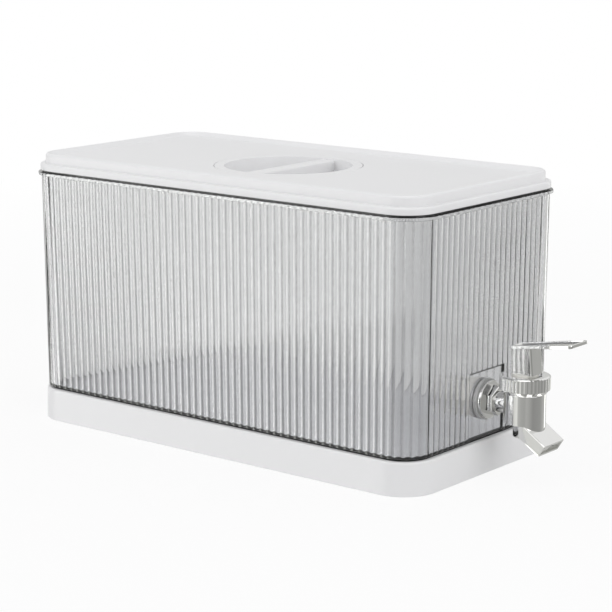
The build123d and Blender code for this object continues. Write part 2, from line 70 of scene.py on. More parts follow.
# Studio
# A wide pale table that runs out into white, a white sweep behind the jug, and soft lamps overhead,
# at the long side and at the tap. What a surface mirrors is dimmer where the photographer stands: a
# tone for each bearing it looks along, on the table and in the room, with two bright strips.
table_half = 150.0
table_white = (0.86, 0.86, 0.862, 1)
table_roughness = 0.9
table_glow = 0.88
table_fade = (0.45, 1.1)
sweep_white = (1, 1, 1, 1)
room_light = (0.62, 0.62, 0.625, 1)
seen_through = (0.97, 0.97, 0.98, 1)
ceiling_tone = (0.95, 0.95, 0.95, 1)
ceiling_rise = (0.12, 0.4)
lamps_aim_at = Vector((0, 0, 0.08))
soft_lamps = {
    "lamp_overhead": ((0.1, -0.2, 1.6), 1.6, 5.8),
    "lamp_long_side": ((-1.0, -1.7, 0.9), 1.2, 9.0),
    "lamp_tap_side": ((1.9, -0.1, 0.7), 1.2, 9.0),
}
# Each tone's place is a share of the way round, from one side of -X to the other
bearing_tones = (
    (0.0, 0.95),
    (0.1, 0.98),
    (0.158, 0.78),
    (0.19, 0.8),
    (0.222, 0.95),
    (0.25, 0.5),
    (0.29, 0.41),
    (0.34, 0.37),
    (0.37, 0.44),
    (0.41, 0.38),
    (0.47, 0.25),
    (0.6, 0.3),
    (0.68, 0.5),
    (0.84, 0.52),
    (0.89, 0.85),
    (1.0, 0.95),
)
green_share = 1.004
blue_share = 0.97
# Each strip's place, half width and strength. In the room they fade above the horizon.
bright_strips = ((0.12, 0.03, 5.0), (0.735, 0.02, 3.0))
strips_fade = (0.02, 0.1)
dimmed_inside = 0.72


def feed(tree, made, feeds):
    # Gives a node's inputs their values, or the outputs of other nodes
    for socket, value in feeds.items():
        if isinstance(value, bpy.types.NodeSocket):
            tree.links.new(value, made.inputs[socket])
        else:
            made.inputs[socket].default_value = value


def put(tree, kind, feeds=None, **settings):
    # A node of a shader tree, with its own settings and inputs
    made = tree.nodes.new(kind)
    for name, value in settings.items():
        setattr(made, name, value)
    feed(tree, made, feeds or {})
    return made


def reckon(tree, operation, *inputs, **settings):
    # One step of arithmetic on values
    return put(tree, "ShaderNodeMath", dict(enumerate(inputs)), operation=operation, **settings).outputs[0]


def reckon_vector(tree, operation, *inputs):
    # One step of arithmetic on vectors. Only a length is a value.
    made = put(tree, "ShaderNodeVectorMath", dict(enumerate(inputs)), operation=operation)
    return made.outputs["Value" if operation == "LENGTH" else "Vector"]


def split(tree, vector):
    return put(tree, "ShaderNodeSeparateXYZ", {0: vector}).outputs


def spread(tree, value, low, high, to_low=0.0, to_high=1.0, **settings):
    # Brings a value from one range to another and holds it at both ends
    feeds = {"Value": value, "From Min": low, "From Max": high, "To Min": to_low, "To Max": to_high}
    return put(tree, "ShaderNodeMapRange", feeds, **settings).outputs["Result"]


def mix(tree, factor, first, second, data_type="RGBA"):
    feeds = {"Factor": factor, "A": first, "B": second}
    return put(tree, "ShaderNodeMix", feeds, data_type=data_type).outputs["Result"]


def mix_shaders(tree, factor, first, second):
    return put(tree, "ShaderNodeMixShader", {"Fac": factor, 1: first, 2: second}).outputs[0]


def seen_by_eye_or_mirror(tree):
    # One where a ray comes from the camera, or off metal, or through clear plastic
    ray = put(tree, "ShaderNodeLightPath").outputs
    by_eye_or_metal = reckon(tree, "MAXIMUM", ray["Is Camera Ray"], ray["Is Glossy Ray"])
    return reckon(tree, "MAXIMUM", by_eye_or_metal, ray["Is Transmission Ray"])


def mirrored_bare(tree):
    # One where a ray comes off a surface, and less where it has met clear plastic on its way
    ray = put(tree, "ShaderNodeLightPath").outputs
    met = reckon(tree, "GREATER_THAN", ray["Transmission Depth"], 0.5)
    bare = reckon(tree, "MULTIPLY_ADD", met, dimmed_inside - 1, 1.0)
    return reckon(tree, "MULTIPLY", bare, ray["Is Glossy Ray"])


def tones_by_bearing(tree, vector):
    # The tone that a surface mirrors from each side of the room, the strips' strength and the rise
    parts = split(tree, vector)
    share = spread(tree, reckon(tree, "ARCTAN2", parts["Y"], parts["X"]), -math.pi, math.pi)
    tones = put(tree, "ShaderNodeValToRGB", {"Fac": share})
    stops = tones.color_ramp.elements
    first, *between, last = bearing_tones
    for stop, (place, tone) in zip((stops[0], stops[1]), (first, last)):
        stop.position = place
        stop.color = (tone, tone, tone, 1)
    for place, tone in between:
        stops.new(place).color = (tone, tone * green_share, tone * blue_share, 1)
    strength = 1.0
    for place, half, brighter in bright_strips:
        strip = reckon(tree, "COMPARE", share, place, half)
        strength = reckon(tree, "MULTIPLY_ADD", strip, brighter, strength)
    return tones.outputs["Color"], strength, parts["Z"]


bm = bmesh.new()
bmesh.ops.create_grid(bm, x_segments=1, y_segments=1, size=table_half)
mesh = bpy.data.meshes.new("table_top")
bm.to_mesh(mesh)
bm.free()
table_top = bpy.data.objects.new("table_top", mesh)
bpy.context.scene.collection.objects.link(table_top)
paint = bpy.data.materials.new("table_white")
mesh.materials.append(paint)
paint.use_nodes = True
tree = paint.node_tree
tree.nodes.clear()
where = put(tree, "ShaderNodeTexCoord").outputs["Object"]
fade = spread(tree, reckon_vector(tree, "LENGTH", where), *table_fade, table_glow, 1.0)
incoming = put(tree, "ShaderNodeNewGeometry").outputs["Incoming"]
tone, strength, _ = tones_by_bearing(tree, reckon_vector(tree, "MULTIPLY", incoming, (-1, -1, -1)))
matte = put(tree, "ShaderNodeBsdfPrincipled", {"Base Color": table_white, "Roughness": table_roughness})
glow = put(tree, "ShaderNodeEmission")
mirrored = put(tree, "ShaderNodeEmission", {"Color": tone, "Strength": strength})
bright = mix_shaders(tree, mirrored_bare(tree), glow.outputs[0], mirrored.outputs[0])
share = reckon(tree, "MULTIPLY", seen_by_eye_or_mirror(tree), fade)
put(tree, "ShaderNodeOutputMaterial", {"Surface": mix_shaders(tree, share, matte.outputs[0], bright)})

world = bpy.data.worlds.new("studio_room")
bpy.context.scene.world = world
world.use_nodes = True
tree = world.node_tree
tree.nodes.clear()
where = put(tree, "ShaderNodeTexCoord").outputs["Generated"]
tone, strength, rise = tones_by_bearing(tree, where)
overhead = mix(tree, spread(tree, rise, *ceiling_rise), tone, ceiling_tone)
strip_strength = mix(tree, spread(tree, rise, *strips_fade), strength, 1.0, "FLOAT")
room = put(tree, "ShaderNodeBackground", {"Color": room_light})
through = put(tree, "ShaderNodeBackground", {"Color": seen_through})
mirrored = put(tree, "ShaderNodeBackground", {"Color": overhead, "Strength": strip_strength})
sweep = put(tree, "ShaderNodeBackground", {"Color": sweep_white})
camera_ray = put(tree, "ShaderNodeLightPath").outputs["Is Camera Ray"]
light = mix_shaders(tree, seen_by_eye_or_mirror(tree), room.outputs[0], through.outputs[0])
light = mix_shaders(tree, mirrored_bare(tree), light, mirrored.outputs[0])
light = mix_shaders(tree, camera_ray, light, sweep.outputs[0])
put(tree, "ShaderNodeOutputWorld", {"Surface": light})

for name, (place, size, power) in soft_lamps.items():
    lamp = bpy.data.lights.new(name, "AREA")
    lamp.size = size
    lamp.energy = power
    holder = bpy.data.objects.new(name, lamp)
    holder.location = place
    holder.rotation_euler = (lamps_aim_at - Vector(place)).to_track_quat("-Z", "Y").to_euler()
    bpy.context.scene.collection.objects.link(holder)


# Stand
# A shallow tray moulded in white polypropylene, with a thin skirt, a deck that the tank stands on
# and ribs under the deck. It is one moulding, with a soft edge at the top and a crisp foot.
mm = 0.001
body_half_x = 149.1
body_half_y = 75.25
body_corner = 19.5
outline_steps = 656
stand_top = 20.0
stand_foot_grow = 0.9
stand_top_grow = 0.52
stand_corner = 22.2
stand_edge_round = 1.2
stand_foot_round = 0.35
stand_wall = 2.4
deck_z = 16.0
deck_thick = 2.4
recess_grow = -3.24
recess_edge_round = 0.4
rib_thick = 1.8
rib_joint = 0.3
mould_grain_size = 1500.0
mould_grain_depth = 0.00002
weld_within = 0.0005


def rim_place(half_x, half_y, corner, share):
    # A place on a rounded rectangle at a share of the way round from +X, and the way it faces
    straight_x = half_x - corner
    straight_y = half_y - corner
    bend = math.pi * corner / 2
    quarter = straight_x + bend + straight_y
    quadrant, along = divmod(share * 4 * quarter, quarter)
    quadrant = int(quadrant) % 4
    if quadrant % 2:
        along = quarter - along
    if along <= straight_y:
        place, facing = (half_x, along), (1, 0)
    elif along <= straight_y + bend:
        turn = (along - straight_y) / corner
        place = (straight_x + corner * math.cos(turn), straight_y + corner * math.sin(turn))
        facing = (math.cos(turn), math.sin(turn))
    else:
        place, facing = (straight_x - (along - straight_y - bend), half_y), (0, 1)
    sign = Vector((-1 if quadrant in (1, 2) else 1, -1 if quadrant in (2, 3) else 1))
    return Vector(place) * sign, Vector(facing) * sign


def body_ring(grow, corner=None, inset=None):
    # The jug's rounded rectangle, grown evenly, as a rule for one ring of a wall
    round_by = body_corner + grow if corner is None else corner

    def rule(share):
        place, facing = rim_place(body_half_x + grow, body_half_y + grow, round_by, share)
        return place - facing * inset(share, facing) if inset else place

    return rule


def new_verts(geometry):
    return [v for v in geometry if isinstance(v, bmesh.types.BMVert)]


def draw_up(bm, steps, rows, start_face=True, end_face=True, closed=False):
    # Draws a circle of edges up through rows, each a height and the rule for its ring
    ring = bmesh.ops.create_circle(bm, segments=steps, radius=1)["verts"]
    shares = {v: (math.atan2(v.co.y, v.co.x) / math.tau) % 1 for v in ring}
    shares = {v: round(share * steps) / steps % 1 for v, share in shares.items()}
    edges = first_edges = [e for e in bm.edges if all(v in shares for v in e.verts)]
    for number, (height, rule) in enumerate(rows):
        if number:
            grown = bmesh.ops.extrude_edge_only(bm, edges=edges)["geom"]
            fresh = set(new_verts(grown))
            edges = [e for e in grown if isinstance(e, bmesh.types.BMEdge)]
            edges = [e for e in edges if all(v in fresh for v in e.verts)]
            lower = {}
            for v in fresh:
                below = next(e.other_vert(v) for e in v.link_edges if e.other_vert(v) in shares)
                lower[v] = shares[below]
            shares = lower
        for v, share in shares.items():
            place = rule(share)
            v.co = (place[0], place[1], height)
    if closed:
        bmesh.ops.bridge_loops(bm, edges=first_edges + edges)
        return
    if start_face:
        bmesh.ops.contextual_create(bm, geom=first_edges)
    if end_face:
        bmesh.ops.contextual_create(bm, geom=edges)


def soft_edge(grow, height, radius, start_degrees, end_degrees, steps=4):
    # Rows of a rounded edge, each a height and a reach, on an arc about a centre
    places = []
    for step in range(steps + 1):
        turn = math.radians(start_degrees + (end_degrees - start_degrees) * step / steps)
        places.append((height + radius * math.sin(turn), grow + radius * math.cos(turn)))
    return places


def block(bm, size, middle):
    # A box about its middle
    made = bmesh.ops.create_cube(bm, size=1)["verts"]
    bmesh.ops.scale(bm, vec=size, verts=made)
    bmesh.ops.translate(bm, vec=middle, verts=made)
    return made


def settle(bm, name, body, material, stands_for, crease=30):
    # Brings a finished shape from millimetres to metres and hangs it on its body
    bmesh.ops.remove_doubles(bm, verts=bm.verts, dist=weld_within)
    bmesh.ops.recalc_face_normals(bm, faces=bm.faces)
    bmesh.ops.scale(bm, vec=(mm, mm, mm), verts=bm.verts)
    mesh = bpy.data.meshes.new(name)
    bm.to_mesh(mesh)
    bm.free()
    mesh.shade_smooth()
    mesh.set_sharp_from_angle(angle=math.radians(crease))
    mesh.materials.append(material)
    piece = bpy.data.objects.new(name, mesh)
    bpy.context.scene.collection.objects.link(piece)
    even = piece.modifiers.new("even_light", "WEIGHTED_NORMAL")
    even.keep_sharp = True
    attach(piece, body)
    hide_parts(stands_for)
    return piece


def noise_group(name, layers):
    # A shared surface effect of noises that read the piece's own coordinates, each a size and detail
    group = bpy.data.node_groups.new(name, "ShaderNodeTree")
    group.interface.new_socket(name="Vector", in_out="INPUT", socket_type="NodeSocketVector")
    for layer, (scale, detail) in layers.items():
        made = group.interface.new_socket(
            name=layer + " Scale", in_out="INPUT", socket_type="NodeSocketFloat"
        )
        made.default_value = scale
        group.interface.new_socket(name=layer, in_out="OUTPUT", socket_type="NodeSocketFloat")
    given = put(group, "NodeGroupInput").outputs
    result = put(group, "NodeGroupOutput")
    for layer, (scale, detail) in layers.items():
        feeds = {"Vector": given["Vector"], "Scale": given[layer + " Scale"], "Detail": detail}
        feed(group, result, {layer: put(group, "ShaderNodeTexNoise", feeds).outputs["Fac"]})
    return group


# The grain of a spark-eroded mould, and the faint cloudiness of a large moulding
moulded_grain = noise_group("moulded_grain", {"Grain": (1600.0, 3.0), "Cloud": (14.0, 2.0)})
moulded = (moulded_grain, "Grain", "Cloud", 0.35)


def finish(name, look, light, dark, roughness, depth, grain_size=None, **sockets):
    # A plastic or metal: two close tones and a gloss that vary softly, and a fine relief
    group, relief, cloud, relief_strength = look
    material = bpy.data.materials.new(name)
    material.use_nodes = True
    tree = material.node_tree
    feeds = {"Vector": put(tree, "ShaderNodeTexCoord").outputs["Object"]}
    if grain_size:
        feeds[relief + " Scale"] = grain_size
    effect = put(tree, "ShaderNodeGroup", feeds, node_tree=group).outputs
    feeds = {"Strength": relief_strength, "Distance": depth, "Height": effect[relief]}
    bump = put(tree, "ShaderNodeBump", feeds)
    feeds = {socket.replace("_", " "): value for socket, value in sockets.items()}
    feeds["Base Color"] = mix(tree, effect[cloud], dark, light)
    feeds["Roughness"] = spread(tree, effect[cloud], 0.0, 1.0, *roughness)
    feeds["Normal"] = bump.outputs["Normal"]
    feed(tree, tree.nodes["Principled BSDF"], feeds)
    return material


white_plastic = finish(
    "white_plastic",
    moulded,
    (0.80, 0.80, 0.806, 1),
    (0.775, 0.776, 0.782, 1),
    (0.36, 0.46),
    depth=mould_grain_depth,
    grain_size=mould_grain_size,
)

bm = bmesh.new()
hollow_grow = stand_top_grow - stand_wall
hollow = [(deck_z - deck_thick, hollow_grow), (0, hollow_grow)]
outside = soft_edge(stand_foot_grow - stand_foot_round, stand_foot_round, stand_foot_round, -90, 0)
outside += soft_edge(
    stand_top_grow - stand_edge_round, stand_top - stand_edge_round, stand_edge_round, 0, 90, 6
)
recess = soft_edge(
    recess_grow + recess_edge_round, stand_top - recess_edge_round, recess_edge_round, 90, 180
)
recess += [(deck_z, recess_grow)]
rings = [(height, body_ring(grow, stand_corner - stand_wall)) for height, grow in hollow]
rings += [(height, body_ring(grow, stand_corner)) for height, grow in outside]
rings += [(height, body_ring(grow)) for height, grow in recess]
draw_up(bm, outline_steps, rings)
rib_reach_x = body_half_x + hollow_grow + rib_joint
rib_reach_y = body_half_y + hollow_grow + rib_joint
rib_rise = deck_z - deck_thick + rib_joint
rib_pitch = (body_half_x + hollow_grow) / 2
block(bm, (2 * rib_reach_x, rib_thick, rib_rise), (0, 0, rib_rise / 2))
for x in (-rib_pitch, 0, rib_pitch):
    block(bm, (rib_thick, 2 * rib_reach_y, rib_rise), (x, 0, rib_rise / 2))
settle(bm, "stand_tray", "base", white_plastic, "stand")


# Tank
# One clear styrene moulding: a reeded wall drawn in slightly towards the bottom, plain inside, with a
# flange and an upstand at the rim for the lid, a foot that drops into the stand and a flat pad with a
# hole for the tap.
reed_count = 164
reed_steps = 8
# The reeds are shallower than the solid's, for the photo's tones
reed_depth = 0.56
reed_depth_at_ends = 0.42
reed_pitch = 5.27
tank_draw_in = 1.44
wall_low = 21.2
wall_high = 156.6
foot_low = 16.04
foot_chamfer = 1.0
foot_grow = -3.74
flange_grow = 2.0
flange_thick = 1.9
flange_round = 0.45
upstand_grow = -1.5
rim_top = 160.3
cavity_grow_at_rim = -3.2
cavity_grow_at_floor = -5.6
# The inside floor is 1.9 mm above the solid's, which keeps dark lines off the foot of the wall
cavity_floor = 21.3
cavity_round = 0.4
round_steps = 6
pad_x = 146.7
pad_half_width = 17.3
pad_top = 61.0
pad_step = 0.5
hole_radius = 8.2
hole_steps = 96
hole_from_land = 2.0
hole_past_pad = 5.0
tap_height = 43.8
land_radius = 12.7
land_x = 144.2
land_depth = 3.0
lamp_tint = (0.985, 0.986, 0.99, 1)
# The painted shade on the clear wall: its tone, the dark line on each reed's far flank, the painted shadow
# bands at the gaps and the dark line round the pad's step
shade_tone = (0.012, 0.012, 0.012, 1)
reed_flank_turn = 0.2
reed_flank_half = 0.16
reed_flank_core = 0.3
reed_flank_shade = 0.5
reed_flank_at_ends = 0.45
shadow_bands = ((0.0164, 0.0232), (0.1585, 0.1606))
shadow_arch = 0.008
shadow_from_grow = -0.0042
pad_edge_shade_half = 0.0007
tap_wall_from = 145.7

# Clear and plated surfaces share the slow ripple of a polished mould and the haze of handling
polished_ripple = noise_group("polished_ripple", {"Ripple": (60.0, 1.0), "Haze": (25.0, 5.0)})
polished = (polished_ripple, "Ripple", "Haze", 0.3)
clear_plastic = finish(
    "clear_plastic",
    polished,
    (0.872, 0.875, 0.888, 1),
    (0.857, 0.86, 0.873, 1),
    (0.012, 0.05),
    depth=0.00004,
    Transmission_Weight=1.0,
    IOR=1.52,
)

# Painted shade on the clear wall, mixed into its base colour. First comes the way out of the wall at each
# place, and how far a reed's surface turns off it.
tree = clear_plastic.node_tree
shader = tree.nodes["Principled BSDF"]
where = put(tree, "ShaderNodeTexCoord").outputs
size = reckon_vector(tree, "ABSOLUTE", where["Object"])
corner_centre = ((body_half_x - body_corner) * mm, (body_half_y - body_corner) * mm, 1)
past_corner = reckon_vector(tree, "SUBTRACT", size, corner_centre)
outward = reckon_vector(tree, "MAXIMUM", past_corner, (0, 0, 0))
signs = reckon_vector(tree, "SIGN", where["Object"])
straight_out = reckon_vector(tree, "NORMALIZE", reckon_vector(tree, "MULTIPLY", outward, signs))
turned = split(tree, reckon_vector(tree, "CROSS_PRODUCT", straight_out, where["Normal"]))["Z"]
# Each reed's far flank catches less light, which is painted in as a fine dark line of shade beside the bright
# one.
# It is weaker at the short walls.
off_flank = reckon(tree, "ABSOLUTE", reckon(tree, "SUBTRACT", turned, reed_flank_turn))
core_half = reed_flank_core * reed_flank_half
flank_shade = spread(
    tree, off_flank, reed_flank_half, core_half, 0.0, reed_flank_shade, interpolation_type="SMOOTHSTEP"
)
out_y = split(tree, straight_out)["Y"]
long_side = reckon(tree, "MULTIPLY", out_y, out_y)
flank_share = reckon(tree, "MULTIPLY_ADD", long_side, 1 - reed_flank_at_ends, reed_flank_at_ends)
flank_shade = reckon(tree, "MULTIPLY", flank_shade, flank_share)
# The gaps under the wall and under the lid are in shadow all round, which is painted as a dark band of shadow
# on the wall's outside there, in an arch on each reed.
place = split(tree, where["Object"])
arch = reckon(tree, "MULTIPLY_ADD", reckon(tree, "MULTIPLY", turned, turned), shadow_arch, place["Z"])
gap_shadows = [reckon(tree, "COMPARE", arch, (low + high) / 2, (high - low) / 2) for low, high in shadow_bands]
gap_shadow = reckon(tree, "MAXIMUM", *gap_shadows)
reach = reckon_vector(tree, "LENGTH", outward)
outside = reckon(tree, "GREATER_THAN", reach, body_corner * mm + shadow_from_grow)
back = put(tree, "ShaderNodeNewGeometry").outputs["Backfacing"]
gap_shadow = reckon(tree, "MULTIPLY", gap_shadow, reckon(tree, "SUBTRACT", outside, back, use_clamp=True))
# The step round the tap's pad is in shade, painted as a dark line round it too
size_parts = split(tree, size)
past_side = reckon(tree, "SUBTRACT", size_parts["Y"], pad_half_width * mm)
past_top = reckon(tree, "SUBTRACT", size_parts["Z"], pad_top * mm)
pad_edge_shade = reckon(tree, "COMPARE", reckon(tree, "MAXIMUM", past_side, past_top), 0, pad_edge_shade_half)
on_tap_wall = reckon(tree, "GREATER_THAN", place["X"], tap_wall_from * mm)
pad_edge_shade = reckon(tree, "MULTIPLY", pad_edge_shade, on_tap_wall)
shade = reckon(tree, "MAXIMUM", reckon(tree, "MAXIMUM", gap_shadow, flank_shade), pad_edge_shade)
# All the painted shade darkens the clear wall's base colour
plain = shader.inputs["Base Color"].links[0].from_socket
feed(tree, shader, {"Base Color": mix(tree, shade, plain, shade_tone)})
# Lamps shine through the clear wall, as they do in the real one
to_lamp = put(tree, "ShaderNodeLightPath").outputs["Is Shadow Ray"]
clear = put(tree, "ShaderNodeBsdfTransparent", {"Color": lamp_tint})
lit = mix_shaders(tree, to_lamp, shader.outputs[0], clear.outputs[0])
feed(tree, tree.nodes["Material Output"], {"Surface": lit})


def reed_inset(share, facing):
    # How far the reeded wall stands inside the outline: nothing on a crest, the full depth in a valley
    half_chord = reed_pitch / 2
    depth = reed_depth + (reed_depth_at_ends - reed_depth) * facing.x**2
    radius = (half_chord**2 + depth**2) / (2 * depth)
    across = (share * reed_count % 1 - 0.5) * reed_pitch
    return radius - math.sqrt(radius**2 - across**2)


def wall_ring(height):
    draw_in = tank_draw_in * (wall_high - height) / (wall_high - wall_low)
    return height, body_ring(-draw_in, inset=reed_inset)


def cavity_grow(height):
    rise = (height - cavity_floor) / (rim_top - cavity_floor)
    return cavity_grow_at_floor + rise * (cavity_grow_at_rim - cavity_grow_at_floor)


def rounded_floor(floor, radius):
    # Rows of a rounded corner down to a floor, each a height and how far it stands in from the wall
    turns = [math.radians(90 * step / round_steps) for step in range(round_steps + 1)]
    return [(floor + radius - radius * math.sin(turn), radius * (1 - math.cos(turn))) for turn in turns]


bm = bmesh.new()
rings = [
    (foot_low, body_ring(foot_grow - foot_chamfer)),
    (foot_low + foot_chamfer, body_ring(foot_grow)),
    (wall_low, body_ring(foot_grow)),
]
rings += [wall_ring(height) for height in (wall_low, pad_top, pad_top + pad_step, wall_high)]
flange_top = wall_high + flange_thick
rows = soft_edge(flange_grow - flange_round, wall_high + flange_round, flange_round, -90, 0)
rows += soft_edge(flange_grow - flange_round, flange_top - flange_round, flange_round, 0, 90)
rows += [(flange_top, upstand_grow), (rim_top, upstand_grow), (rim_top, cavity_grow_at_rim)]
rows += [(cavity_floor + cavity_round, cavity_grow(cavity_floor + cavity_round))]
for height, inward in rounded_floor(cavity_floor, cavity_round)[1:]:
    rows.append((height, cavity_grow_at_floor - inward))
rings += [(height, body_ring(grow)) for height, grow in rows]
draw_up(bm, reed_count * reed_steps, rings)
for v in bm.verts:
    on_wall = v.co.x > pad_x and abs(v.co.y) < pad_half_width
    if on_wall and wall_low - pad_step < v.co.z < pad_top + pad_step / 2:
        v.co.x = pad_x
tank_shell = settle(bm, "tank_shell", "base", clear_plastic, "tank")


def turn(bm, angle, axis, verts):
    bmesh.ops.rotate(bm, cent=(0, 0, 0), matrix=Matrix.Rotation(angle, 3, axis), verts=verts)


def rod(bm, radius, length, axis, middle, segments):
    # A round bar about its middle, laid flat by a quarter turn about an axis
    made = bmesh.ops.create_cone(
        bm, cap_ends=True, segments=segments, radius1=radius, radius2=radius, depth=length
    )["verts"]
    turn(bm, math.pi / 2, axis, made)
    bmesh.ops.translate(bm, vec=middle, verts=made)


def cut_out(piece, cutter_bm, crease=30, crossing=False):
    # Takes the cutter's shape out of a piece for good; crossing is for a piece of joined shells
    bmesh.ops.scale(cutter_bm, vec=(mm, mm, mm), verts=cutter_bm.verts)
    mesh = bpy.data.meshes.new("cutter")
    cutter_bm.to_mesh(mesh)
    cutter_bm.free()
    cutter = bpy.data.objects.new("cutter", mesh)
    bpy.context.scene.collection.objects.link(cutter)
    cut = piece.modifiers.new("cut", "BOOLEAN")
    cut.object = cutter
    cut.operation = "DIFFERENCE"
    cut.solver = "EXACT"
    cut.use_self = crossing
    weighted = piece.modifiers["even_light"]
    weighted.show_viewport = weighted.show_render = False
    graph = bpy.context.evaluated_depsgraph_get()
    fresh = bpy.data.meshes.new_from_object(piece.evaluated_get(graph))
    old = piece.data
    piece.modifiers.remove(cut)
    weighted.show_viewport = weighted.show_render = True
    piece.data = fresh
    fresh.name = piece.name
    bpy.data.objects.remove(cutter)
    bpy.data.meshes.remove(mesh)
    bpy.data.meshes.remove(old)
    fresh.shade_smooth()
    fresh.set_sharp_from_angle(angle=math.radians(crease))


cutter_bm = bmesh.new()
hole = (hole_radius, land_x - hole_from_land, pad_x + hole_past_pad)
land = (land_radius, land_x - land_depth, land_x)
for radius, low_x, high_x in (hole, land):
    middle = ((low_x + high_x) / 2, 0, tap_height)
    rod(cutter_bm, radius, high_x - low_x, "Y", middle, hole_steps)
cut_out(tank_shell, cutter_bm)


# Tap washers and lock nut
# Soft clear washers on both sides of the tank's wall, squeezed by a natural nylon nut on the shank.
# The washers are cut from sheet, and the nut is moulded with a round flange and six flats.
clear_silicone = finish(
    "clear_silicone",
    moulded,
    (0.86, 0.86, 0.85, 1),
    (0.82, 0.82, 0.81, 1),
    (0.28, 0.4),
    depth=mould_grain_depth,
    grain_size=900.0,
    Transmission_Weight=0.55,
    IOR=1.41,
)
natural_nylon = finish(
    "natural_nylon",
    moulded,
    (0.78, 0.77, 0.73, 1),
    (0.74, 0.73, 0.69, 1),
    (0.38, 0.5),
    depth=mould_grain_depth,
    grain_size=1100.0,
)


def finish_nodes(material, *names):
    # Pieces whose solids already have their shape only take their finish
    for name in names:
        node[name].data.materials.clear()
        node[name].data.materials.append(material)


finish_nodes(clear_silicone, "outer_washer", "inner_washer")
finish_nodes(natural_nylon, "lock_nut")


# Tap body
# Plated plastic in one moulding: a threaded shank through the wall, a round flange, a six-sided
# collar for the spanner, a short neck, an upright barrel for the valve and a flat square spout.
tap_x = 174.06
shank_end_x = 131.23
shank_core = 7.25
shank_crest = 7.85
shank_bore = 4.5
shank_steps = 72
thread_pitch = 1.5
thread_start = 0.5
thread_sink = 0.05
thread_steps = 48
thread_crest = (0.45, 0.55)
flange_back_x = 148.9
flange_radius = 11.2
flange_face_x = 151.15
collar_corner = 8.9
collar_length = 5.85
collar_chamfer = 1.0
neck_radius = 6.3
neck_joint = 2.0
barrel_radius = 12.15
barrel_low = 34.5
barrel_top = 52.0
barrel_neck_radius = 11.0
barrel_neck_top = 58.0
barrel_steps = 96
chamber_radius = 8.6
chamber_low = 38.0
floor_ring = 0.4
edge_round = 0.35
spout_half_width = 10.5
spout_slope = math.radians(33.3)
spout_thick = 8.0
spout_wall = 1.5
spout_edge_round = 1.0
spout_joint = 0.7
lip_x = 194.55
lip_z = 25.28
heel_x = 177.0
heel_radius = 10.7
heel_joint = 0.05
front_clearance = 0.01
root_z = 36.25
mouth_depth = 2.2
mouth_from_heel = 5.0
aligned = 0.99

chrome = finish(
    "chrome",
    polished,
    (0.80, 0.80, 0.79, 1),
    (0.75, 0.75, 0.735, 1),
    (0.03, 0.1),
    depth=0.00025,
    Metallic=1.0,
)


def circle(radius, x=0.0):
    # The rule for a round ring
    return lambda share: (x + radius * math.cos(share * math.tau), radius * math.sin(share * math.tau))


def turned_rows(profile, x=0.0):
    # Rings of a turned piece from a list of height and radius
    return [(height, circle(radius, x)) for height, radius in profile]


def spout_top(x):
    return lip_z + (lip_x - x) * math.tan(spout_slope)


def prism(bm, corners, half_width):
    # A solid across the jug's middle plane, from its corners seen from the side
    side = [bm.verts.new((x, -half_width, z)) for x, z in corners]
    face = bm.faces.new(side)
    far = new_verts(bmesh.ops.extrude_face_region(bm, geom=[face])["geom"])
    bmesh.ops.translate(bm, vec=(0, 2 * half_width, 0), verts=far)
    return set(side + far)


def cut_flat(bm, verts, place, facing):
    # Cuts a closed shell flat, drops the side that the plane faces and closes the cut
    inside = set(verts)
    faces = [f for f in bm.faces if all(v in inside for v in f.verts)]
    edges = {e for f in faces for e in f.edges}
    done = bmesh.ops.bisect_plane(
        bm, geom=list(inside) + list(edges) + faces, plane_co=place, plane_no=facing, clear_outer=True
    )
    rim = [e for e in done["geom_cut"] if isinstance(e, bmesh.types.BMEdge)]
    bmesh.ops.holes_fill(bm, edges=rim, sides=0)


def soften(bm, edges, offset, segments):
    bmesh.ops.bevel(
        bm, geom=edges, affect="EDGES", offset=offset, segments=segments, profile=0.5, material=-1
    )


bm = bmesh.new()
# Shank, flange and neck, drawn along the shank's axis
profile = [(shank_end_x + mouth_depth, shank_bore), (shank_end_x, shank_bore)]
profile += [(shank_end_x, shank_core), (flange_back_x, shank_core)]
profile += soft_edge(flange_radius - edge_round, flange_back_x + edge_round, edge_round, -90, 0)
profile += soft_edge(flange_radius - edge_round, flange_face_x - edge_round, edge_round, 0, 90)
profile += [(flange_face_x, neck_radius), (tap_x - neck_joint, neck_radius)]
draw_up(bm, shank_steps, turned_rows(profile))
# The thread is one pitch of its shape, wound along the shank
turns = int((flange_back_x - shank_end_x - 2 * thread_start) / thread_pitch) - 1
thread_core = shank_core - thread_sink
shape = [(thread_core, 0), (shank_crest, thread_crest[0]), (shank_crest, thread_crest[1]), (thread_core, 1)]
seed = [bm.verts.new((r, 0, shank_end_x + thread_start + thread_pitch * share)) for r, share in shape]
seed_edges = [bm.edges.new(pair) for pair in zip(seed, seed[1:])]
bmesh.ops.spin(
    bm,
    geom=seed + seed_edges,
    cent=(0, 0, 0),
    axis=(0, 0, 1),
    dvec=(0, 0, thread_pitch / thread_steps),
    angle=math.tau * turns,
    steps=thread_steps * turns,
    use_merge=False,
)
# Collar
six = bmesh.ops.create_circle(bm, cap_ends=True, segments=6, radius=collar_corner)["verts"]
turn(bm, math.radians(30), "Z", six)
bmesh.ops.translate(bm, vec=(0, 0, flange_face_x), verts=six)
face = six[0].link_faces[0]
top = new_verts(bmesh.ops.extrude_face_region(bm, geom=[face])["geom"])
bmesh.ops.translate(bm, vec=(0, 0, collar_length), verts=top)
soften(bm, [e for e in bm.edges if all(v in top for v in e.verts)], collar_chamfer, 2)
# All of it is laid along +X at the tap's height
turn(bm, math.pi / 2, "Y", bm.verts)
bmesh.ops.translate(bm, vec=(0, 0, tap_height), verts=bm.verts)
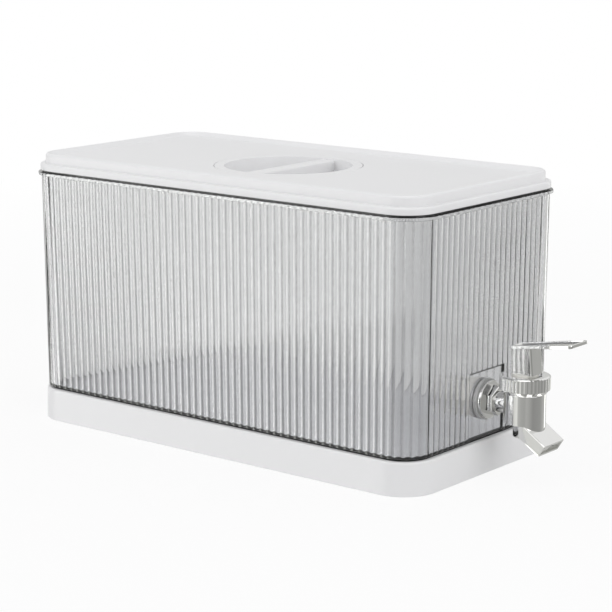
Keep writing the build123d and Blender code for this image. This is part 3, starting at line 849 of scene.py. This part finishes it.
# Barrel
before = set(bm.verts)
profile = [(chamber_low, floor_ring), (chamber_low, chamber_radius), (barrel_neck_top, chamber_radius)]
profile += [(barrel_neck_top, barrel_neck_radius), (barrel_top, barrel_neck_radius)]
profile += soft_edge(barrel_radius - edge_round, barrel_top - edge_round, edge_round, 90, 0)
profile += [(barrel_low, barrel_radius)]
draw_up(bm, barrel_steps, turned_rows(profile))
# The barrel runs on down in front to the spout's sloping top
whole = set(bm.verts)
front_radius = barrel_radius + front_clearance
profile = [(lip_z - spout_thick, front_radius), (barrel_top - edge_round, front_radius)]
draw_up(bm, barrel_steps, turned_rows(profile))
down_slope = Vector((math.sin(spout_slope), 0, math.cos(spout_slope)))
skirt = [v for v in bm.verts if v not in whole]
cut_flat(bm, skirt, (heel_x - tap_x, 0, 0), (-1, 0, 0))
skirt = [v for v in bm.verts if v not in whole]
cut_flat(bm, skirt, (heel_x - tap_x, 0, spout_top(heel_x) - spout_joint), -down_slope)
bmesh.ops.translate(bm, vec=(tap_x, 0, 0), verts=[v for v in bm.verts if v not in before])
# Spout
low_lip = (lip_x - spout_thick * math.sin(spout_slope), lip_z - spout_thick * math.cos(spout_slope))
heel_low = spout_top(heel_x) - spout_thick / math.cos(spout_slope)
root_x = lip_x - (root_z - lip_z) / math.tan(spout_slope)
corners = ((heel_x, heel_low), low_lip, (lip_x, lip_z), (root_x, root_z), (heel_x, root_z))
spout_verts = prism(bm, corners, spout_half_width)
bmesh.ops.recalc_face_normals(bm, faces=list({f for v in spout_verts for f in v.link_faces}))
down = Vector((math.cos(spout_slope), 0, -math.sin(spout_slope)))
long_edges = [e for e in bm.edges if set(e.verts) <= spout_verts]
long_edges = [
    e for e in long_edges if abs((e.verts[0].co - e.verts[1].co).normalized().dot(down)) > aligned
]
soften(bm, long_edges, spout_edge_round, 3)
ends = [f for f in bm.faces if f.normal.dot(down) > aligned]
ends = [f for f in ends if f.calc_center_median().x > heel_x + mouth_from_heel]
mouth = max(ends, key=lambda f: f.calc_area())
bmesh.ops.inset_region(bm, faces=[mouth], thickness=spout_wall, depth=0)
inner = new_verts(bmesh.ops.extrude_face_region(bm, geom=[mouth])["geom"])
bmesh.ops.delete(bm, geom=[mouth], context="FACES_ONLY")
bmesh.ops.translate(bm, vec=-down * mouth_depth, verts=inner)
# Rounded heel behind the spout
whole = set(bm.verts)
heel_middle = heel_x + math.sqrt(heel_radius**2 - spout_half_width**2)
draw_up(bm, shank_steps, turned_rows([(heel_low, heel_radius), (root_z, heel_radius)], heel_middle))
cut_flat(bm, [v for v in bm.verts if v not in whole], (heel_x + heel_joint, 0, 0), (1, 0, 0))
settle(bm, "tap_casting", "base", chrome, "tap_body", crease=26)


# Bonnet
# A plated, ribbed cover screwed on the barrel's neck. Its ribs run up to a small crown, it is bevelled
# below, and the stem comes out through its top.
bonnet_radius = 14.7
bonnet_low = 52.03
bonnet_top = 62.3
bonnet_bevel = 2.1
bonnet_edge = 0.7
rib_count = 36
rib_steps = 6
rib_depth = 0.3
stem_hole = 2.48
bonnet_inside = 11.05
bonnet_ceiling = 59.9
bonnet_foot = ((0, -0.1), (0.4, 0.2))
bonnet_shoulder = (0.2, 0.25)
bonnet_crown = ((0.35, 0.15), (0.08, 0.6))
bonnet_face_inset = 1.4
rib_start = 0.1


def ribbed(radius, depth):
    # The rule for a ribbed ring
    return lambda share: circle(radius - depth * (1 - abs(math.sin(share * rib_count * math.pi))))(share)


bm = bmesh.new()
base_radius = bonnet_radius - bonnet_bevel
valley = bonnet_radius - rib_depth
bevel_top = bonnet_low + bonnet_bevel
profile = [(bonnet_ceiling, stem_hole), (bonnet_ceiling, bonnet_inside), (bonnet_low, bonnet_inside)]
profile += [(bonnet_low + rise, base_radius + reach) for rise, reach in bonnet_foot]
profile += [(bevel_top - bonnet_shoulder[0], valley - bonnet_shoulder[1])]
rings = turned_rows(profile)
for height in (bevel_top + rib_start, bonnet_top - bonnet_edge):
    rings.append((height, ribbed(bonnet_radius, rib_depth)))
profile = [(bonnet_top - drop, valley - inset) for drop, inset in bonnet_crown]
profile += [(bonnet_top, bonnet_radius - bonnet_face_inset), (bonnet_top, stem_hole)]
rings += turned_rows(profile)
draw_up(bm, rib_count * rib_steps, rings, closed=True)
bmesh.ops.translate(bm, vec=(tap_x, 0, 0), verts=bm.verts)
settle(bm, "bonnet_cover", "base", chrome, "bonnet", crease=24)


# Valve
# Inside the barrel a nylon stem carries a soft cup on the seat, a steel washer and a wound steel
# spring under the bonnet's roof. A soft ring seals the bonnet and a nylon ring carries the lever's foot.
steel = finish(
    "steel",
    polished,
    (0.62, 0.62, 0.62, 1),
    (0.56, 0.56, 0.56, 1),
    (0.15, 0.3),
    depth=0.00005,
    Metallic=1.0,
)
finish_nodes(natural_nylon, "valve_stem", "wear_washer")
finish_nodes(clear_silicone, "seat_cup", "bonnet_seal")
finish_nodes(steel, "spring_washer", "lever_pin")

# The spring is a copy of its solid, hung on the base with a mesh of its own
bm = bmesh.new()
bm.from_mesh(node["valve_spring"].data)
bmesh.ops.transform(bm, matrix=node["valve_spring"].matrix_world, verts=bm.verts)
bmesh.ops.scale(bm, vec=(1 / mm, 1 / mm, 1 / mm), verts=bm.verts)
spring_coil = settle(bm, "spring_coil", "base", steel, "valve_spring", crease=50)
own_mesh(spring_coil)


# Lever
# A plated thumb blade with a shallow tray, on a square neck that rocks on its foot and is pinned
# across the stem. Blade and neck are one moulding, with a slot for the stem and a hole for its pin.
foot_z = 63.3
foot_gap = 0.02
pin_z = 68.3
neck_low = (-6.26, 8.34)
neck_high = (-7.26, 6.74)
neck_half_width = 5.8
neck_round = 1.0
blade_low = 77.0
blade_slope = math.radians(9.0)
blade_length = 43.5
blade_thick = 2.0
blade_back_half = 6.0
blade_front_half = 9.6
blade_corner = 2.2
blade_least_corner = 0.4
blade_corner_steps = 6
blade_rim = 1.8
tray_depth = 0.8
blade_soft = 0.35
slot_half = 2.7
slot_side = 3.0
slot_top = 72.7
slot_below_foot = 2.0
slot_foot_reach = 3.4
slot_head_reach = 1.6
pin_hole_radius = 1.26
pin_hole_steps = 32
pin_hole_shift = 1.2


def blade_ring(inset):
    # The rule for the blade's outline set in by some amount, with rounded corners
    taper = math.atan2(blade_front_half - blade_back_half, blade_length)
    side_turn = math.pi / 2 + taper
    side_reach = blade_front_half * math.cos(taper) - blade_length * math.sin(taper)
    sides = [(0, blade_length), (side_turn, side_reach), (math.pi, 0)]
    sides += [(math.tau - side_turn, side_reach), (math.tau, blade_length)]
    corner = max(blade_corner - inset, blade_least_corner)

    def rule(share):
        number, step = divmod(round(share * 4 * blade_corner_steps), blade_corner_steps)
        (turn_a, reach_a), (turn_b, reach_b) = sides[number % 4], sides[number % 4 + 1]
        reach_a, reach_b = reach_a - inset - corner, reach_b - inset - corner
        across = math.sin(turn_b - turn_a)
        x = (reach_a * math.sin(turn_b) - reach_b * math.sin(turn_a)) / across
        y = (reach_b * math.cos(turn_a) - reach_a * math.cos(turn_b)) / across
        turn_here = turn_a + (turn_b - turn_a) * step / (blade_corner_steps - 1)
        return x + corner * math.cos(turn_here), y + corner * math.sin(turn_here)

    return rule


bm = bmesh.new()
rows = [(z, -inset) for z, inset in soft_edge(-blade_soft, blade_soft, blade_soft, -90, 0)]
rows += [(z, -inset) for z, inset in soft_edge(-blade_soft, blade_thick - blade_soft, blade_soft, 0, 90)]
rows += [(blade_thick, blade_rim), (blade_thick - tray_depth / 2, blade_rim + tray_depth / 4)]
rows += [(blade_thick - tray_depth, blade_rim + tray_depth)]
draw_up(bm, 4 * blade_corner_steps, [(height, blade_ring(inset)) for height, inset in rows])
turn(bm, -blade_slope, "Y", bm.verts)
bmesh.ops.translate(bm, vec=(tap_x + neck_high[0], 0, blade_low), verts=bm.verts)
neck_back = blade_low + blade_thick / 2
neck_front = neck_back + (neck_high[1] - neck_high[0]) * math.tan(blade_slope)
corners = [(tap_x + x, foot_z + foot_gap) for x in neck_low]
corners += [(tap_x + neck_high[1], neck_front), (tap_x + neck_high[0], neck_back)]
neck_verts = prism(bm, corners, neck_half_width)
uprights = [e for e in bm.edges if set(e.verts) <= neck_verts]
uprights = [e for e in uprights if abs(e.verts[0].co.z - e.verts[1].co.z) > (blade_low - foot_z) / 2]
soften(bm, uprights, neck_round, 4)
lever_arm = settle(bm, "lever_arm", "lever", chrome, "lever", crease=26)

cutter_bm = bmesh.new()
slot_low = foot_z - slot_below_foot
slot_size = (2 * slot_side, 2 * slot_half, slot_top - slot_low)
made = block(cutter_bm, slot_size, (tap_x, 0, (slot_top + slot_low) / 2))
for v in made:
    if v.co.z < foot_z and v.co.x > tap_x:
        v.co.x += slot_foot_reach
    if v.co.z > pin_z and v.co.x < tap_x:
        v.co.x -= slot_head_reach
pin_middle = (tap_x, pin_hole_shift, pin_z)
rod(cutter_bm, pin_hole_radius, 2 * neck_half_width, "X", pin_middle, pin_hole_steps)
cut_out(lever_arm, cutter_bm, crease=26, crossing=True)


# Lid
# One white moulding that lifts off: a lower tier over the tank's rim, an upper tier with a soft raised
# edge round a sunk top, a skirt that plugs the tank and a throat for the fill cap.
lid_grow = 0.46
lid_low = 159.65
lid_foot_round = 0.3
lid_ledge = 163.9
lid_ledge_round = 1.0
tier_grow = -2.94
tier_corner = 16.2
tier_fillet = ((0, 0.35), (0.12, 0.1), (0.4, 0))
lid_height = 170.05
lid_rim_round = 1.6
rim_inner_grow = -4.74
rim_inner_corner = 14.4
sink_grow = -8.74
sink_corner = 10.4
sink_steps = 10
sink_curve = 0.85
lid_top = 167.25
cap_recess = 45.7
recess_edge = ((0, 0.25), (0.08, 0.08), (0.25, 0))
cap_step = 164.05
throat = 42.6
throat_low = 157.45
throat_outer = 44.4
collar_low = 162.25
collar_outer = 47.7
lid_under = 165.25
plug_inner = -5.6
plug_outer = -3.8
plug_low = 157.5
lid_roof = 161.9
groove_grow = -1.14
ledge_low = 159.05
ledge_thick = 1.6
ledge_inner = 40.8
ledge_joint = 0.6
ledge_degrees = 68
swing_steps = 24


def round_hole(radius):
    # The rule for a round ring that keeps each point in line with the jug's outline
    return lambda share: rim_place(body_half_x, body_half_y, body_corner, share)[0].normalized() * radius


def ring_piece(bm, inner, outer, low, high, middle_degrees, degrees):
    # A piece of a ring: a square section swung round the upright axis
    corners = [bm.verts.new((r, 0, z)) for r, z in ((inner, low), (outer, low), (outer, high), (inner, high))]
    face = bm.faces.new(corners)
    turn(bm, math.radians(middle_degrees - degrees / 2), "Z", corners)
    bmesh.ops.spin(
        bm,
        geom=corners + list(face.edges) + [face],
        cent=(0, 0, 0),
        axis=(0, 0, 1),
        angle=math.radians(degrees),
        steps=swing_steps,
        use_merge=False,
    )


bm = bmesh.new()
outer = [(lid_low, groove_grow)]
outer += soft_edge(lid_grow - lid_foot_round, lid_low + lid_foot_round, lid_foot_round, -90, 0)
outer += soft_edge(lid_grow - lid_ledge_round, lid_ledge - lid_ledge_round, lid_ledge_round, 0, 90, 6)
rings = [(height, body_ring(grow, body_corner)) for height, grow in outer]
upper = [(lid_ledge + rise, tier_grow + reach) for rise, reach in tier_fillet]
upper += soft_edge(tier_grow - lid_rim_round, lid_height - lid_rim_round, lid_rim_round, 0, 90, 7)
rings += [(height, body_ring(grow, tier_corner + grow - tier_grow)) for height, grow in upper]
for step in range(1, sink_steps + 1):
    along = step / sink_steps
    drop = (lid_height - lid_top) * math.sin(along * math.pi / 2) ** sink_curve
    grow = rim_inner_grow + (sink_grow - rim_inner_grow) * along
    corner = rim_inner_corner + (sink_corner - rim_inner_corner) * along
    rings.append((lid_height - drop, body_ring(grow, corner)))
rings += [(lid_top - drop, round_hole(cap_recess + reach)) for drop, reach in recess_edge]
opening = [(cap_step, cap_recess), (cap_step, throat), (throat_low, throat), (throat_low, throat_outer)]
opening += [(collar_low, throat_outer), (collar_low, collar_outer), (lid_under, collar_outer)]
rings += [(height, round_hole(radius)) for height, radius in opening]
skirt = [(lid_under, plug_inner), (plug_low, plug_inner), (plug_low, plug_outer)]
skirt += [(lid_roof, plug_outer), (lid_roof, groove_grow)]
rings += [(height, body_ring(grow)) for height, grow in skirt]
draw_up(bm, outline_steps, rings, closed=True)
ledge_top = ledge_low + ledge_thick
for middle in (60, 180, 300):
    ring_piece(bm, ledge_inner, throat + ledge_joint, ledge_low, ledge_top, middle, ledge_degrees)
settle(bm, "lid_shell", "lid", white_plastic, "lid")
finish_nodes(clear_silicone, "lid_gasket")


# Fill cap
# A white cap flush with the lid: a flat flange, a sunk round dish and a grip bar across it, hollow
# from below. Three lugs on its cup turn under the throat's ledges, and a soft ring seals the flange.
cap_steps = 288
cap_flange = 45.4
cap_flange_low = 165.25
cap_flange_round = 0.3
cap_cup = 40.4
cap_cup_edge = ((0, 0.6), (0.18, 0.18), (0.6, 0))
cap_dish = 39.2
cap_dish_edge = 0.5
cap_dish_floor = 38.3
cap_floor_top = 156.75
cap_low = 154.95
dish_round = 2.5
bar_half_width = 5.5
bar_top = 166.25
bar_round = 1.2
bar_reach = 38.9
bar_wall = 1.6
bar_joint = 0.5
bar_hollow_corner = 1.0
lug_low = 156.95
lug_top = 158.75
lug_inner = 39.5
lug_outer = 42.2
lug_degrees = 40


def long_ring(half_x, half_y, corner):
    # The rule for a small rounded rectangle
    return lambda share: rim_place(half_x, half_y, corner, share)[0]


bm = bmesh.new()
hollow = long_ring(bar_half_width - bar_wall, cap_dish_floor - bar_wall, bar_hollow_corner)
rings = [(bar_top - bar_wall, hollow), (cap_low, hollow)]
profile = [(cap_low + rise, cap_cup - inset) for rise, inset in cap_cup_edge]
profile += [(cap_flange_low, cap_cup), (cap_flange_low, cap_flange)]
profile += soft_edge(cap_flange - cap_flange_round, lid_top - cap_flange_round, cap_flange_round, 0, 90)
profile += soft_edge(cap_dish + cap_dish_edge, lid_top - cap_dish_edge, cap_dish_edge, 90, 170, 5)
for height, inward in rounded_floor(cap_floor_top, dish_round):
    rise = (height - cap_floor_top) / (lid_top - cap_floor_top)
    profile.append((height, cap_dish_floor + rise * (cap_dish - cap_dish_floor) - inward))
draw_up(bm, cap_steps, rings + turned_rows(profile))
# Grip bar
bar_low = cap_floor_top - bar_joint
made = block(bm, (2 * bar_half_width, 2 * bar_reach, bar_top - bar_low), (0, 0, (bar_top + bar_low) / 2))
crown = {e for v in made for e in v.link_edges}
crown = [e for e in crown if all(v.co.z > cap_floor_top + 1 for v in e.verts)]
crown = [e for e in crown if abs(e.verts[0].co.y - e.verts[1].co.y) > 1]
soften(bm, crown, bar_round, 5)
for middle in (0, 120, 240):
    ring_piece(bm, lug_inner, lug_outer, lug_low, lug_top, middle, lug_degrees)
settle(bm, "cap_shell", "cap", white_plastic, "fill_cap")
finish_nodes(clear_silicone, "cap_seal")
